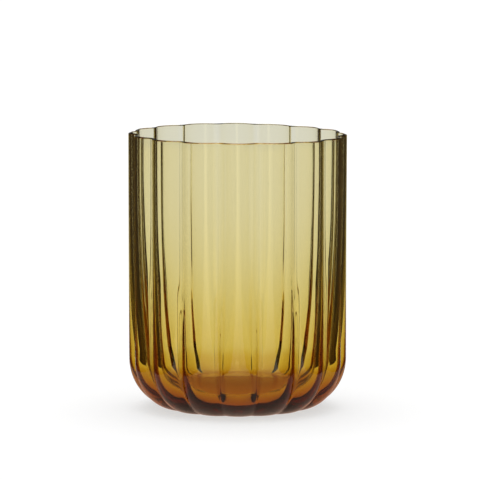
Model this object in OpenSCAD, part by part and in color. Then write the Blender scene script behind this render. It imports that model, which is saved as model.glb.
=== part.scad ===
// Hand blown glass vase: a straight, deeply lobed cylinder on a rounded heel.
// It is one continuous body of glass, drawn as four level zones that meet face to face.

/* [Vase] */
// Overall height
vase_height = 164.5; // [130:0.5:220]
// Greatest diameter, over the tops of the lobes
vase_diameter = 130; // [110:1:170]

/* [Lobes] */
// Number of upright lobes round the wall
lobe_count = 16; // [12:1:20]
// Depth of the grooves between the lobes, on the wall, before they are rounded
groove_depth = 4.5; // [2:0.1:5.5]
// Rounding of the grooves on the wall
groove_soft = 3.6; // [1:0.1:5]
// Depth of the same grooves half way up the heel
heel_groove = 4.3; // [2:0.1:5]
// Depth of the same grooves where they run out on the underside
foot_groove = 2.2; // [1:0.1:2.5]
// Rounding of the grooves at the underside
foot_soft = 0.8; // [0.4:0.1:1.5]
// Depth of the ridges inside, before they are rounded
ridge_depth = 5.2; // [3:0.1:5.5]
// Rounding of the ridges inside, on the wall
ridge_soft = 7.6; // [5:0.1:9]
// Rounding of the same ridges in the bowl
bowl_soft = 2.2; // [1:0.1:9]
// Turn of the lobe pattern about the axis, in degrees, so a lobe faces almost straight forward
lobe_turn = 0.5; // [-10:0.1:10]

/* [Heel and base] */
// Height of the rounded heel, outside
heel_height = 30; // [24:1:34]
// How far the heel curves in, from the wall to the edge of the flat underside
heel_depth = 28; // [20:1:30]
// Thickness of the floor at the foot of the bowl
floor_thickness = 10.5; // [9:0.5:13]
// Radius of the curve between the floor and the inside of the wall
bowl_radius = 21; // [14:1:24]

/* [Glass] */
// Thickness of the glass under the rim, on the lobes
rim_wall = 1.7; // [1.5:0.1:3]
// Thickness of the glass at the foot of the straight wall, on the lobes
foot_wall = 5.2; // [4:0.1:6]
// Height of the lip zone
lip_height = 4; // [3:0.5:8]
// Slope of the lip's polished top, which falls outwards, in degrees
lip_slope = 22; // [0:1:30]

/* [Hidden] */
// Corner points along one lobe, and round the whole vase
lobe_steps = 10;
ring_steps = lobe_count * lobe_steps;
// Steps along the curves of the heel, the bowl and the lip
heel_steps = 8;
bowl_steps = 6;
wall_steps = 6;
lip_steps = 2;
top_radius = vase_diameter / 2;
foot_radius = top_radius - heel_depth;
inner_top = top_radius - rim_wall;
lobe_angle = 360 / lobe_count;
// Radius of the lip's two softened edges
lip_round = rim_wall * 0.12;
// The heel zone ends where both the outside heel and the inside bowl are upright
bowl_top = floor_thickness + bowl_radius;
shoulder = max(heel_height, bowl_top) + 2;
lip_start = vase_height - lip_height;
// Height over which the grooves turn from the heel's into the wall's
groove_rise = 34;
// The ridges are as in the bowl up to the first height, and as on the wall above the second
ridge_start = 42;
ridge_end = 87;
// The heel's outside is a quarter of an ellipse, and this is where the floor level cuts it
floor_angle = asin(1 - floor_thickness / heel_height);
glass = [0.72, 0.58, 0.22, 0.55];

// Smooth step from 0 to 1, as share goes from 0 to 1
function ease(share) =
    let (held = min(max(share, 0), 1))
    held * held * (3 - 2 * held);

// A value on the way from a to b
function mix(a, b, share) = a + (b - a) * share;

// Radius of the lobed outline at an angle from a lobe's top: a ring of circles, each through
// a lobe's top and the two grooves beside it, with the grooves between them rounded by soft.
// radius is taken over the lobes and groove is their depth before rounding.
function lobed_radius(local, radius, groove, soft) =
    let (half = lobe_angle / 2)
    let (low = radius - groove)
    let (chord = low * sin(half))
    let (rise = radius - low * cos(half))
    let (lobe = (chord * chord + rise * rise) / (2 * rise))
    let (centre = radius - lobe)
    let (here = reach(centre, lobe, local))
    let (beside = reach(centre, lobe, lobe_angle - abs(local)))
    let (share = max(soft - (here - beside), 0) / soft)
    here + share * share * soft / 4;

// Distance from the axis to the far side of a circle, at an angle from its middle. Outside
// the circle's own angle it falls away quickly, so that it has no part in the rounding.
function reach(centre, lobe, angle) =
    let (side = centre * sin(angle))
    centre * cos(angle) + (side < lobe ? sqrt(lobe * lobe - side * side) : -centre);

// Height on the heel's ellipse, from the underside at 90 degrees up to the wall at 0
function heel_level(angle) = heel_height * (1 - sin(angle));

// Radius of the outside over the lobes at a height
function outer_radius(z) =
    let (drop = max(heel_height - z, 0) / heel_height)
    foot_radius + heel_depth * sqrt(1 - drop * drop);

// Depth of the outside grooves at a height, as a share of the radius there
function groove_share(z) =
    let (half = heel_height / 2)
    let (foot = foot_groove / foot_radius)
    let (heel = heel_groove / outer_radius(half))
    z < half
        ? mix(foot, heel, ease(z / half))
        : mix(heel, groove_depth / top_radius, ease((z - half) / groove_rise));

// Rounding of the outside grooves at a height
function groove_rounding(z) = mix(foot_soft, groove_soft, ease(z / groove_rise));

// Thickness of the upright wall at a height: thin glass above, gathering towards the foot
function wall_thickness(z) =
    let (share = min(max((vase_height - z) / (vase_height - shoulder), 0), 1))
    mix(rim_wall, foot_wall, share * share * share);

// Radius of the inside over its lobes at a height, down through the bowl to the floor
function inner_radius(z) =
    let (drop = min(max(bowl_top - z, 0) / bowl_radius, 1))
    top_radius - wall_thickness(z) - bowl_radius + bowl_radius * sqrt(1 - drop * drop);

// Rounding of the inside ridges at a height
function ridge_rounding(z) =
    mix(bowl_soft, ridge_soft, ease((z - ridge_start) / (ridge_end - ridge_start)));

// One closed ring of points at a height, with the points closer together at the grooves
function ring(z, radius, groove, soft) = [
    for (lobe = [0 : lobe_count - 1])
        for (step = [0 : lobe_steps - 1])
            let (local = lobe_angle / 2 * sin(180 * step / lobe_steps - 90))
            let (r = lobed_radius(local, radius, groove, soft))
            let (turn = lobe * lobe_angle + local + lobe_turn)
            [r * sin(turn), -r * cos(turn), z]
];

function outer_ring(z) =
    ring(z, outer_radius(z), outer_radius(z) * groove_share(z), groove_rounding(z));

// The inside follows the lobes more softly
function inner_ring(z) =
    ring(z, inner_radius(z), inner_radius(z) * ridge_depth / inner_top, ridge_rounding(z));

// Points of all rings in one list
function joined(rings) = [for (one = rings) for (point = one) point];

// Faces of the band between ring a and ring b
function band(a, b) = [
    for (step = [0 : ring_steps - 1])
        let (next = (step + 1) % ring_steps)
        [
            a * ring_steps + step, b * ring_steps + step,
            b * ring_steps + next, a * ring_steps + next
        ]
];

// A ring-shaped solid: the rings run up the outside and down the inside
module hollow_zone(rings) {
    count = len(rings);
    faces = [for (one = [0 : count - 1]) each band(one, (one + 1) % count)];
    polyhedron(joined(rings), faces, convexity = 6);
}

// A full solid: the rings run up the outside, with a flat cap below and above
module solid_zone(rings) {
    last = len(rings) - 1;
    sides = [for (one = [0 : last - 1]) each band(one, one + 1)];
    under = [for (step = [0 : ring_steps - 1]) step];
    over = [for (step = [ring_steps - 1 : -1 : 0]) last * ring_steps + step];
    polyhedron(joined(rings), concat(sides, [under], [over]), convexity = 4);
}

// Thick floor with the lower part of the heel, and a flat underside
module base() {
    outside = [
        for (step = [0 : heel_steps])
            outer_ring(heel_level(90 - (90 - floor_angle) * step / heel_steps))
    ];
    color(glass) solid_zone(outside);
}

// Rounded heel outside, bowl inside
module heel() {
    outside = [
        for (step = [0 : heel_steps])
            outer_ring(heel_level(floor_angle * (1 - step / heel_steps)))
    ];
    inside = [
        for (step = [0 : bowl_steps])
            inner_ring(bowl_top - bowl_radius * sin(90 * step / bowl_steps))
    ];
    top = [outer_ring(shoulder), inner_ring(shoulder)];
    color(glass) hollow_zone(concat(outside, top, inside));
}

// Upright lobed wall, thicker towards its foot
module wall() {
    // Levels of the wall's rings, closer together near the foot, where the glass changes most
    function level(step) =
        let (share = step / wall_steps)
        mix(shoulder, lip_start, share * share * (2 - share));
    outside = [for (step = [0 : wall_steps]) outer_ring(level(step))];
    inside = [for (step = [wall_steps : -1 : 0]) inner_ring(level(step))];
    color(glass) hollow_zone(concat(outside, inside));
}

// Lip with a polished top that falls outwards, between two softened edges
module rim() {
    fall = (rim_wall - 2 * lip_round) * tan(lip_slope);
    // How far an edge leans over the glass at a turn from upright, and how much it lacks in height
    function lean(turn) = lip_round * (1 - cos(turn));
    function lack(turn) = lip_round * (1 - sin(turn));
    outer_edge = [
        for (step = [0 : lip_steps])
            let (turn = (90 - lip_slope) * step / lip_steps)
            let (z = vase_height - fall - lack(turn))
            ring(z, top_radius - lean(turn), groove_depth, groove_soft)
    ];
    inner_edge = [
        for (step = [lip_steps : -1 : 0])
            let (turn = (90 + lip_slope) * step / lip_steps)
            let (z = vase_height - lack(turn))
            ring(z, inner_top + lean(turn), ridge_depth, ridge_soft)
    ];
    foot = [inner_ring(lip_start), outer_ring(lip_start)];
    color(glass) hollow_zone(concat(outer_edge, inner_edge, foot));
}

base();
heel();
wall();
rim();
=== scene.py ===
"""Hand blown amber glass vase: one continuous lobed body of glass on a pale studio floor."""
import math
import random

import bpy
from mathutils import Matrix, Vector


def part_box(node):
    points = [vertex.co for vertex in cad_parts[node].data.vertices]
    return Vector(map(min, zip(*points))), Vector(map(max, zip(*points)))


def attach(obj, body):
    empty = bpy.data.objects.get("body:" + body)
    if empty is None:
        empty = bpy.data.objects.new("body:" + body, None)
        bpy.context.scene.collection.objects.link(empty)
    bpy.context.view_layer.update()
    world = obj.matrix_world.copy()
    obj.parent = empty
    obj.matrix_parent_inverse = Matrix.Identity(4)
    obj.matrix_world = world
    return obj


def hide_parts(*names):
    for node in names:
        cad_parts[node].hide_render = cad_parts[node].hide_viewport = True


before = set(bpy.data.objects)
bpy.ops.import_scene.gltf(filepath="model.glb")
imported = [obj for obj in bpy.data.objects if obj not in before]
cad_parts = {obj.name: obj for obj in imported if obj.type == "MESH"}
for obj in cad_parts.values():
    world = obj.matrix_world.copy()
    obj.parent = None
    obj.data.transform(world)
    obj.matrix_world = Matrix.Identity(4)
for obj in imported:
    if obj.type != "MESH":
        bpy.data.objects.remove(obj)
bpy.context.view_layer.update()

MM = 0.001

# --- Sizes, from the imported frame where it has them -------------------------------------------
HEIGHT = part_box("rim")[1].z
TOP_RADIUS = (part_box("wall")[1].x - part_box("wall")[0].x) / 2
FLOOR_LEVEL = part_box("base")[1].z

LOBES = 16
LOBE_ANGLE = 2 * math.pi / LOBES
LOBE_TURN = math.radians(0.5)   # the first lobe faces almost straight forward
GROOVE_DEPTH = 4.5 * MM         # of the grooves outside, on the wall, before they are rounded
GROOVE_SOFT = 3.6 * MM          # their rounding
RIDGE_DEPTH = 5.2 * MM          # of the ridges inside, before they are rounded
RIDGE_SOFT = 7.6 * MM           # their rounding on the wall
BOWL_SOFT = 2.2 * MM            # and in the bowl
HEEL_GROOVE = 0.070             # depth of the grooves half way up the heel, as a share of the radius
FOOT_GROOVE = 0.060             # and at the foot
FOOT_SOFT = 0.8 * MM            # rounding of the grooves at the foot
GROOVE_RISE = 34 * MM           # height over which the heel's grooves turn into the wall's
RIDGE_START = 42 * MM           # the ridges are as in the bowl up to here
RIDGE_END = 87 * MM             # and as on the wall above here
HEEL_HEIGHT = 30 * MM
HEEL_DEPTH = 28 * MM            # how far the heel curves in
FOOT_RADIUS = TOP_RADIUS - HEEL_DEPTH
BOWL_RADIUS = 21 * MM           # of the curve between the floor and the inside of the wall
BOWL_TOP = FLOOR_LEVEL + BOWL_RADIUS
SHOULDER = 33.5 * MM            # foot of the straight wall
RIM_WALL = 1.7 * MM             # thickness of the glass under the rim, on the lobes
FOOT_WALL = 5.2 * MM            # and at the shoulder
LIP_SLOPE = math.radians(22)    # the lip's polished top falls outwards
LIP_ROUND = RIM_WALL * 0.12     # radius of its two softened edges
LIP_INSIDE = HEIGHT - LIP_ROUND
LIP_OUTSIDE = LIP_INSIDE - (RIM_WALL - 2 * LIP_ROUND) * math.tan(LIP_SLOPE)
LIP_GUARD = 0.1 * MM            # a ring this far below the lip keeps the wall's shading upright

# --- Hand work --------------------------------------------------------------------------------
# Waves in the wall: size in millimetres, how many go round, their twist and their start
WALL_WAVES = ((0.12, 2, 3.0, 0.7), (0.08, 3, -4.0, 2.1))
INSIDE_WAVES = ((0.02, 5, 9.0, 0.3), (0.01, 9, -17.0, 1.9))
RIM_TILT = -0.55 * MM           # the rim is this much lower at the right and higher at the left
RIM_WAVE = 0.12 * MM            # and has four small waves
LEVEL_SHARE = 0.3               # up to this share of the height, every ring is level
SEED_COUNT = 18
SEED_SIZES = (0.18, 0.34)       # smallest and largest radius of a bubble, in millimetres
SEED_TOP = HEIGHT - 6 * MM

# --- Glass ------------------------------------------------------------------------------------
GLASS_COLOUR = (0.882, 0.741, 0.0)
GLASS_DENSITY = 228             # how fast the glass takes up light, per metre
CORD_FINENESS = (260, 260, 9)   # the cords are narrow round the vase and long up it
CORD_HEIGHT = 0.01 * MM

# --- Light that comes back from the table -----------------------------------------------------
# Each list runs outwards from the axis: distance in metres, then the light there. They are painted
# light and shade, standing in for what the render doesn't trace: the amber light that the vase
# throws round its own foot, the shade round the foot and of the cards beside it, and the light
# falling off far out.
# As rays that went through the glass see it
THROUGH_GLASS = (
    (0.037, (0.52, 0.24, 0.05)),
    (0.060, (0.60, 0.42, 0.12)),
    (0.100, (0.78, 0.70, 0.42)),
    (0.160, (0.86, 0.86, 0.81)),
    (1.50, (0.86, 0.87, 0.85)),     # the brightly lit part of the table ends here
    (1.62, (0.77, 0.795, 0.835)),
)
# And as reflections see it: a painted reflection, darker round the foot and far out
IN_GLOSS = (
    (0.037, (0.55, 0.36, 0.27)),
    (0.060, (0.50, 0.34, 0.27)),
    (0.11, (0.30, 0.26, 0.24)),
    (0.25, (0.75, 0.75, 0.75)),
    (0.45, (0.75, 0.75, 0.75)),
    (1.0, (0.25, 0.25, 0.25)),
)
SIDE_STRETCH = 0.75             # below 1, the same painted light and shade reach further out at the sides

# --- Floor and room ---------------------------------------------------------------------------
FLOOR_RADIUS = 8
FLOOR_CORNERS = 96
FLOOR_DEPTHS = (0.15 * MM, 0.20 * MM, 0.25 * MM)    # of the three floors below the vase
FLOOR_GREY = 0.42               # how much light the pale floor gives back
FLOOR_GLOW = 0.61               # and how much it adds, so its shadow stays light
# Light of the room by height: 0 is the horizon and 1 is straight up
ROOM = ((0, 0.85), (0.12, 0.85), (0.22, 0.4), (0.7, 0.35), (0.85, 1.3), (1, 1.9))
ROOM_IN_GLOSS = 0.25            # the room is this much as bright where the glass reflects it
LAMP_STRENGTH = 0.75
LAMP_WIDTH = math.radians(50)
LAMP_TILT = math.radians(-20)

# --- Dark cards beside the vase ---------------------------------------------------------------
# Only the glass sees them: they are hidden from the camera, though they reach into its view, and
# they cast no shadow.
# The cards' faint brown glow is painted dim light on them, which gives the glass's dark bands their
# brown.
CARD_GLOW = (0.038, 0.027, 0.018)
FLAG_SIZE = (1.4, 2.0)          # of the upright cards
FLAG_ASIDE = 0.13               # how far they stand from the axis
FLAG_AHEAD = 0.28               # how far their middle is in front of it
# The level cards are painted shade: dark sheets where the table beside the vase lies in shade, as
# the glass sees it.
TABLE_CARD_SIZE = (0.6, 0.8)    # of the level cards, which hang 15 to 21 mm above the table
TABLE_CARD_ASIDE = 0.11         # how far the middle of their inner edge is from the axis
TABLE_CARD_TURN = math.radians(5)   # it moves their inner edges apart behind the vase

# --- Camera -----------------------------------------------------------------------------------
CAMERA_RISE = math.radians(7.27)
CAMERA_DISTANCE = 2.77
CAMERA_LENS = 348
CAMERA_SENSOR = 36
CAMERA_LIFT = 0.0181            # how far above the middle of the vase it looks
CAMERA_SLIDE = 0.0014           # and how far to the right

# --- Mesh density -----------------------------------------------------------------------------
LOBE_STEPS = 28
HEEL_STEPS = 22
WALL_STEPS = 40
LIP_STEPS = 6
BOWL_STEPS = 16
DISC_STEPS = 5
SEED_ROWS = 6
SEED_COLUMNS = 10


def mix(a, b, share):
    return a + (b - a) * share


def smooth(share):
    share = min(max(share, 0.0), 1.0)
    return share * share * (3 - 2 * share)


# --- The ideal form ---------------------------------------------------------------------------
def lobe_circle(local, radius, groove):
    """Radius to one lobe's circle at an angle from its middle, or None where the ray misses it."""
    half = LOBE_ANGLE / 2
    low = radius - groove
    chord = low * math.sin(half)
    rise = radius - low * math.cos(half)
    lobe = (chord * chord + rise * rise) / (2 * rise)
    centre = radius - lobe
    side = centre * math.sin(local)
    if abs(side) >= lobe:
        return None
    return centre * math.cos(local) + math.sqrt(lobe * lobe - side * side)


def lobed_radius(angle, radius, groove, soft):
    """Radius of a ring of lobes, with the grooves between them rounded by soft."""
    local = (angle + LOBE_ANGLE / 2) % LOBE_ANGLE - LOBE_ANGLE / 2
    here = lobe_circle(local, radius, groove)
    beside = lobe_circle(LOBE_ANGLE - abs(local), radius, groove)
    if beside is None or here - beside > soft:
        return here
    share = (soft - (here - beside)) / soft
    return here + share * share * soft / 4


def outer_radius(z):
    drop = max(HEEL_HEIGHT - z, 0) / HEEL_HEIGHT
    return FOOT_RADIUS + HEEL_DEPTH * math.sqrt(max(1 - drop * drop, 0))


def outer_groove(z):
    half = HEEL_HEIGHT / 2
    if z < half:
        share = mix(FOOT_GROOVE, HEEL_GROOVE, smooth(z / half))
    else:
        share = mix(HEEL_GROOVE, GROOVE_DEPTH / TOP_RADIUS, smooth((z - half) / GROOVE_RISE))
    return share * outer_radius(z)


def outer_soft(z):
    return mix(FOOT_SOFT, GROOVE_SOFT, smooth(z / GROOVE_RISE))


def wall_thickness(z):
    """Thickness on the lobes: thin under the rim, thicker towards the foot."""
    share = min(max((HEIGHT - z) / (HEIGHT - SHOULDER), 0), 1)
    return mix(RIM_WALL, FOOT_WALL, share ** 3)


def inner_radius(z):
    drop = min(max(BOWL_TOP - z, 0) / BOWL_RADIUS, 1)
    bend = BOWL_RADIUS * (1 - math.sqrt(max(1 - drop * drop, 0)))
    return TOP_RADIUS - wall_thickness(z) - bend


def inner_groove(z):
    return inner_radius(z) * RIDGE_DEPTH / (TOP_RADIUS - RIM_WALL)


def inner_soft(z):
    return mix(BOWL_SOFT, RIDGE_SOFT, smooth((z - RIDGE_START) / (RIDGE_END - RIDGE_START)))


# --- The hand work ----------------------------------------------------------------------------
def wave(waves, angle, up):
    """How far a set of waves moves the wall outwards, at an angle and a share of the height."""
    return MM * sum(size * math.sin(count * angle + twist * up + start)
                    for size, count, twist, start in waves)


def hand_worked(angle, radius, z, inside):
    """Small unevenness of blown glass: a slightly wavy wall and a rim that is not quite level."""
    up = z / HEIGHT
    waves = WALL_WAVES + INSIDE_WAVES if inside else WALL_WAVES
    radius += wave(waves, angle, up) * smooth(radius / FOOT_RADIUS) * smooth(z / HEEL_HEIGHT)
    tilt = RIM_TILT * math.sin(angle) + RIM_WAVE * math.sin(4 * angle + 1.0)
    z += tilt * smooth((up - LEVEL_SHARE) / (1 - LEVEL_SHARE))
    return radius, z


# --- Mesh of the vase -------------------------------------------------------------------------
def ring_angles():
    """Angles round the vase, closer together near the grooves."""
    angles = []
    for lobe in range(LOBES):
        for step in range(LOBE_STEPS):
            share = -1 + 2 * step / LOBE_STEPS
            local = LOBE_ANGLE / 2 * math.sin(share * math.pi / 2)
            angles.append(lobe * LOBE_ANGLE + local)
    return angles


def outer_ring(z):
    return (z, outer_radius(z), outer_groove(z), outer_soft(z), False)


def inner_ring(z):
    return (z, inner_radius(z), inner_groove(z), inner_soft(z), True)


def lip_rings():
    """The lip from outside to inside: a soft edge, a slope that falls outwards, a soft edge."""
    inside = TOP_RADIUS - RIM_WALL
    rings = []
    for step in range(LIP_STEPS + 1):
        turn = (math.pi / 2 - LIP_SLOPE) * step / LIP_STEPS
        level = LIP_OUTSIDE + LIP_ROUND * math.sin(turn)
        lean = LIP_ROUND * (1 - math.cos(turn))
        rings.append((level, TOP_RADIUS - lean, GROOVE_DEPTH, GROOVE_SOFT, False))
    for step in range(LIP_STEPS, -1, -1):
        turn = (math.pi / 2 + LIP_SLOPE) * step / LIP_STEPS
        level = LIP_INSIDE + LIP_ROUND * math.sin(turn)
        lean = LIP_ROUND * (1 - math.cos(turn))
        rings.append((level, inside + lean, inner_groove(HEIGHT), RIDGE_SOFT, True))
    return rings


def body_rings():
    """Rings from the middle of the underside, up the outside, over the lip and down to the floor."""
    rings = []
    for step in range(1, DISC_STEPS):
        share = step / DISC_STEPS
        rings.append((0.0, FOOT_RADIUS * share, FOOT_RADIUS * FOOT_GROOVE * share ** 3,
                      FOOT_SOFT, False))
    for step in range(HEEL_STEPS):
        turn = math.pi / 2 * (1 - step / HEEL_STEPS)
        rings.append(outer_ring(HEEL_HEIGHT * (1 - math.sin(turn))))
    for step in range(WALL_STEPS):
        rings.append(outer_ring(mix(HEEL_HEIGHT, LIP_OUTSIDE, step / WALL_STEPS)))
    rings.append(outer_ring(LIP_OUTSIDE - LIP_GUARD))
    rings += lip_rings()
    rings.append(inner_ring(LIP_INSIDE - LIP_GUARD))
    for step in range(1, WALL_STEPS):
        rings.append(inner_ring(mix(LIP_INSIDE, BOWL_TOP, step / WALL_STEPS)))
    for step in range(BOWL_STEPS + 1):
        turn = math.pi / 2 * step / BOWL_STEPS
        rings.append(inner_ring(BOWL_TOP - BOWL_RADIUS * math.sin(turn)))
    floor_radius, floor_groove = inner_radius(FLOOR_LEVEL), inner_groove(FLOOR_LEVEL)
    for step in range(DISC_STEPS - 1, 0, -1):
        share = step / DISC_STEPS
        rings.append((FLOOR_LEVEL, floor_radius * share, floor_groove * share ** 3,
                      BOWL_SOFT, True))
    return rings


def add_seed(points, faces, centre, size):
    """A tiny bubble in the glass: a closed ball whose faces look inwards."""
    first = len(points)
    x, y, z = centre
    points.append((x, y, z + size))
    for row in range(1, SEED_ROWS):
        down = math.pi * row / SEED_ROWS
        for column in range(SEED_COLUMNS):
            around = 2 * math.pi * column / SEED_COLUMNS
            points.append((x + size * math.sin(down) * math.cos(around),
                           y + size * math.sin(down) * math.sin(around),
                           z + size * math.cos(down)))
    points.append((x, y, z - size))
    last = len(points) - 1
    for column in range(SEED_COLUMNS):
        after = (column + 1) % SEED_COLUMNS
        faces.append((first, first + 1 + after, first + 1 + column))
        for row in range(SEED_ROWS - 2):
            here = first + 1 + row * SEED_COLUMNS
            below = here + SEED_COLUMNS
            faces.append((here + column, here + after, below + after, below + column))
        low = first + 1 + (SEED_ROWS - 2) * SEED_COLUMNS
        faces.append((last, low + column, low + after))


def seed_places():
    """Places and sizes of the bubbles, in the middle of the glass."""
    draw = random.Random(7)
    places = []
    for _ in range(SEED_COUNT):
        angle = draw.uniform(0, 2 * math.pi)
        z = mix(SHOULDER, SEED_TOP, draw.random())
        outside = lobed_radius(angle - LOBE_TURN, outer_radius(z), outer_groove(z), GROOVE_SOFT)
        inside = lobed_radius(angle - LOBE_TURN, inner_radius(z), inner_groove(z), RIDGE_SOFT)
        r = (outside + inside) / 2
        size = draw.uniform(*SEED_SIZES) * MM
        places.append(((r * math.sin(angle), -r * math.cos(angle), z), size))
    return places


def vase_surface():
    """Points and faces of the glass: one closed surface, with the underside's middle first and
    the floor's middle last."""
    angles = ring_angles()
    count = len(angles)
    points = [(0.0, 0.0, 0.0)]
    for z, radius, groove, soft, inside in body_rings():
        for angle in angles:
            reach = lobed_radius(angle, radius, groove, soft)
            reach, level = hand_worked(angle, reach, z, inside)
            turned = angle + LOBE_TURN
            points.append((reach * math.sin(turned), -reach * math.cos(turned), level))
    points.append((0.0, 0.0, FLOOR_LEVEL))
    last = len(points) - 1
    rings = (last - 1) // count
    faces = []
    for step in range(count):
        after = (step + 1) % count
        faces.append((0, 1 + after, 1 + step))
        for ring in range(rings - 1):
            low = 1 + ring * count
            faces.append((low + step, low + after, low + count + after, low + count + step))
        top = 1 + (rings - 1) * count
        faces.append((last, top + step, top + after))
    return points, faces


def make_vase():
    """The glass and its bubbles as one object."""
    points, faces = vase_surface()
    for centre, size in seed_places():
        add_seed(points, faces, centre, size)
    mesh = bpy.data.meshes.new("vase_glass")
    mesh.from_pydata(points, [], faces)
    mesh.validate()
    mesh.polygons.foreach_set("use_smooth", [True] * len(mesh.polygons))
    vase = bpy.data.objects.new("vase_glass", mesh)
    bpy.context.scene.collection.objects.link(vase)
    return vase


# --- Materials --------------------------------------------------------------------------------
def new_material(name):
    material = bpy.data.materials.new(name)
    material.use_nodes = True
    return material, material.node_tree.nodes, material.node_tree.links


def amber_glass():
    """Clear amber glass: the colour is in its depth, so thick glass is darker."""
    material, nodes, links = new_material("amber_glass")
    shader = nodes["Principled BSDF"]
    shader.inputs["Base Color"].default_value = (1, 1, 1, 1)
    shader.inputs["Transmission Weight"].default_value = 1
    shader.inputs["IOR"].default_value = 1.5
    shader.inputs["Roughness"].default_value = 0
    # Faint upright cords in the glass, left by the gather as it was drawn down
    where = nodes.new("ShaderNodeTexCoord")
    stretch = nodes.new("ShaderNodeMapping")
    stretch.inputs["Scale"].default_value = CORD_FINENESS
    cords = nodes.new("ShaderNodeTexNoise")
    cords.inputs["Scale"].default_value = 1
    cords.inputs["Detail"].default_value = 2
    bump = nodes.new("ShaderNodeBump")
    bump.inputs["Strength"].default_value = 1.0
    bump.inputs["Distance"].default_value = CORD_HEIGHT
    links.new(where.outputs["Object"], stretch.inputs["Vector"])
    links.new(stretch.outputs["Vector"], cords.inputs["Vector"])
    links.new(cords.outputs["Fac"], bump.inputs["Height"])
    links.new(bump.outputs["Normal"], shader.inputs["Normal"])
    depth = nodes.new("ShaderNodeVolumeAbsorption")
    depth.inputs["Color"].default_value = (*GLASS_COLOUR, 1)
    depth.inputs["Density"].default_value = GLASS_DENSITY
    links.new(depth.outputs["Volume"], nodes["Material Output"].inputs["Volume"])
    return material


def plain(name, grey, glow, strength):
    """A dull material that also shines by itself."""
    material, nodes, _ = new_material(name)
    shader = nodes["Principled BSDF"]
    shader.inputs["Base Color"].default_value = (grey, grey, grey, 1)
    shader.inputs["Roughness"].default_value = 1
    shader.inputs["Specular IOR Level"].default_value = 0
    shader.inputs["Emission Color"].default_value = (*glow, 1)
    shader.inputs["Emission Strength"].default_value = strength
    return material


# --- Stage ------------------------------------------------------------------------------------
def painted_light_table(name, stops):
    """A table that shines by itself with painted light and shade, given by the distance from the
    axis.
    """
    material, nodes, links = new_material(name)
    reach = stops[-1][0]
    where = nodes.new("ShaderNodeTexCoord")
    stretch = nodes.new("ShaderNodeMapping")
    stretch.inputs["Scale"].default_value = (SIDE_STRETCH / reach, 1 / reach, 1)
    away = nodes.new("ShaderNodeVectorMath")
    away.operation = "LENGTH"
    ramp = nodes.new("ShaderNodeValToRGB")
    ramp.color_ramp.interpolation = "EASE"
    fill_ramp(ramp.color_ramp, [(distance / reach, light) for distance, light in stops])
    shine = nodes.new("ShaderNodeEmission")
    links.new(where.outputs["Object"], stretch.inputs["Vector"])
    links.new(stretch.outputs["Vector"], away.inputs[0])
    links.new(away.outputs["Value"], ramp.inputs["Fac"])
    links.new(ramp.outputs["Color"], shine.inputs["Color"])
    links.new(shine.outputs["Emission"], nodes["Material Output"].inputs["Surface"])
    return material


def fill_ramp(ramp, stops):
    """Set a colour ramp's stops, given as places and colours in order."""
    while len(ramp.elements) < len(stops):
        ramp.elements.new(1.0)
    for element, (place, colour) in zip(ramp.elements, stops):
        element.position = place
        element.color = (*colour, 1)


def make_floor(name, depth, material, seen_by):
    """A wide disc that only some rays see: the camera's, or those that met the glass."""
    bpy.ops.mesh.primitive_circle_add(vertices=FLOOR_CORNERS, radius=FLOOR_RADIUS,
                                      fill_type="NGON", location=(0, 0, -depth))
    floor = bpy.context.object
    floor.name = name
    floor.data.materials.append(material)
    floor.visible_shadow = False
    for way in ("camera", "diffuse", "glossy", "transmission"):
        setattr(floor, "visible_" + way, way in seen_by)


def make_floors():
    """Three floors, one just below the other: one for the camera, and two that glow with painted
    light and shade, one for light that went through the glass and one for reflections."""
    for_camera, through_glass, in_gloss = FLOOR_DEPTHS
    pale = plain("pale_floor", FLOOR_GREY, (1, 1, 1), FLOOR_GLOW)
    make_floor("studio_floor", for_camera, pale, ("camera",))
    make_floor("studio_floor_through_glass", through_glass,
               painted_light_table("through_glass", THROUGH_GLASS), ("transmission", "diffuse"))
    make_floor("studio_floor_in_gloss", in_gloss, painted_light_table("in_gloss", IN_GLOSS), ("glossy",))


def make_card(name, size, place, turns, camera, material):
    """A dark card beside the vase, which only the glass sees."""
    bpy.ops.mesh.primitive_plane_add(size=1)
    card = bpy.context.object
    card.name = name
    card.data.materials.append(material)
    card.scale = (*size, 1)
    card.rotation_mode = "ZXY"
    card.rotation_euler = turns
    card.location = place
    card.parent = camera
    card.visible_camera = False
    card.visible_diffuse = False
    card.visible_shadow = False
    return card


def make_cards(camera):
    """On each side an upright flag, and a level card just above the table. They give the glass
    its dark edges. They are the camera's children, so the flags stay beside the vase when the
    camera goes round it. The level cards are in place for this camera only: from the others they
    are partly or wholly under the floor."""
    dark = plain("dark_card", 0, CARD_GLOW, 1)
    half = HEIGHT / 2
    table = (-half * math.cos(CAMERA_RISE), -CAMERA_DISTANCE - half * math.sin(CAMERA_RISE))
    for side, word in ((-1, "left"), (1, "right")):
        place = (side * FLAG_ASIDE, 0, FLAG_AHEAD - CAMERA_DISTANCE)
        make_card("flag_" + word, FLAG_SIZE, place, (0, math.pi / 2, 0), camera, dark)
        # Level card: painted shade of the table beside the vase.
        place = (side * (TABLE_CARD_ASIDE + TABLE_CARD_SIZE[0] / 2), *table)
        turns = (CAMERA_RISE - math.pi / 2, 0, -side * TABLE_CARD_TURN)
        level = make_card("table_card_" + word, TABLE_CARD_SIZE, place, turns, camera, dark)
        level.visible_glossy = False


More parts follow.
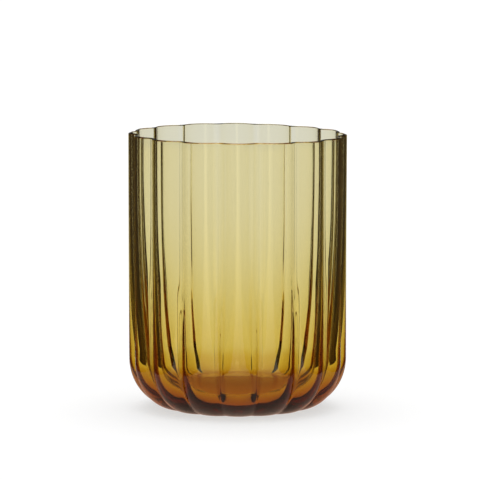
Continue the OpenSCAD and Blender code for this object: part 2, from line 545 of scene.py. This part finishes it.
def make_world():
    """A soft room: a bright band low down, dim walls and a bright ceiling. The camera itself
    sees plain white, so the floor has no horizon."""
    world = bpy.data.worlds.new("studio")
    bpy.context.scene.world = world
    world.use_nodes = True
    nodes, links = world.node_tree.nodes, world.node_tree.links
    where = nodes.new("ShaderNodeTexCoord")
    split = nodes.new("ShaderNodeSeparateXYZ")
    ramp = nodes.new("ShaderNodeValToRGB")
    fill_ramp(ramp.color_ramp, [(place, (light, light, light)) for place, light in ROOM])
    ray = nodes.new("ShaderNodeLightPath")
    dim = nodes.new("ShaderNodeMapRange")
    dim.inputs["To Min"].default_value = 1
    dim.inputs["To Max"].default_value = ROOM_IN_GLOSS
    plain_white = nodes.new("ShaderNodeMix")
    plain_white.data_type = "RGBA"
    plain_white.inputs[7].default_value = (1, 1, 1, 1)
    links.new(where.outputs["Generated"], split.inputs["Vector"])
    links.new(split.outputs["Z"], ramp.inputs["Fac"])
    links.new(ray.outputs["Is Camera Ray"], plain_white.inputs["Factor"])
    links.new(ramp.outputs["Color"], plain_white.inputs[6])
    links.new(plain_white.outputs[2], nodes["Background"].inputs["Color"])
    links.new(ray.outputs["Is Glossy Ray"], dim.inputs["Value"])
    links.new(dim.outputs["Result"], nodes["Background"].inputs["Strength"])


def make_lamp():
    sun = bpy.data.lights.new("overhead", "SUN")
    sun.energy = LAMP_STRENGTH
    sun.angle = LAMP_WIDTH
    lamp = bpy.data.objects.new("overhead", sun)
    lamp.rotation_euler = (LAMP_TILT, 0, 0)
    bpy.context.scene.collection.objects.link(lamp)


def make_camera():
    """Looking slightly down at the vase, from far back through a long lens."""
    data = bpy.data.cameras.new("camera")
    data.lens = CAMERA_LENS
    data.sensor_width = CAMERA_SENSOR
    data.clip_end = 50
    camera = bpy.data.objects.new("camera", data)
    bpy.context.scene.collection.objects.link(camera)
    camera.location = (0, -CAMERA_DISTANCE * math.cos(CAMERA_RISE),
                       HEIGHT / 2 + CAMERA_DISTANCE * math.sin(CAMERA_RISE))
    camera.rotation_euler = (math.pi / 2 - CAMERA_RISE + CAMERA_LIFT / CAMERA_DISTANCE, 0,
                             -CAMERA_SLIDE / CAMERA_DISTANCE)
    bpy.context.scene.camera = camera
    return camera


# --- Everything together ----------------------------------------------------------------------
scene = bpy.context.scene
scene.view_settings.view_transform = "Standard"
scene.cycles.max_bounces = 32
scene.cycles.transmission_bounces = 32
scene.cycles.glossy_bounces = 16
scene.cycles.sample_clamp_indirect = 10

vase = make_vase()
vase.data.materials.append(amber_glass())
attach(vase, "root")
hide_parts("base", "heel", "wall", "rim")

make_floors()
make_world()
make_lamp()
make_cards(make_camera())
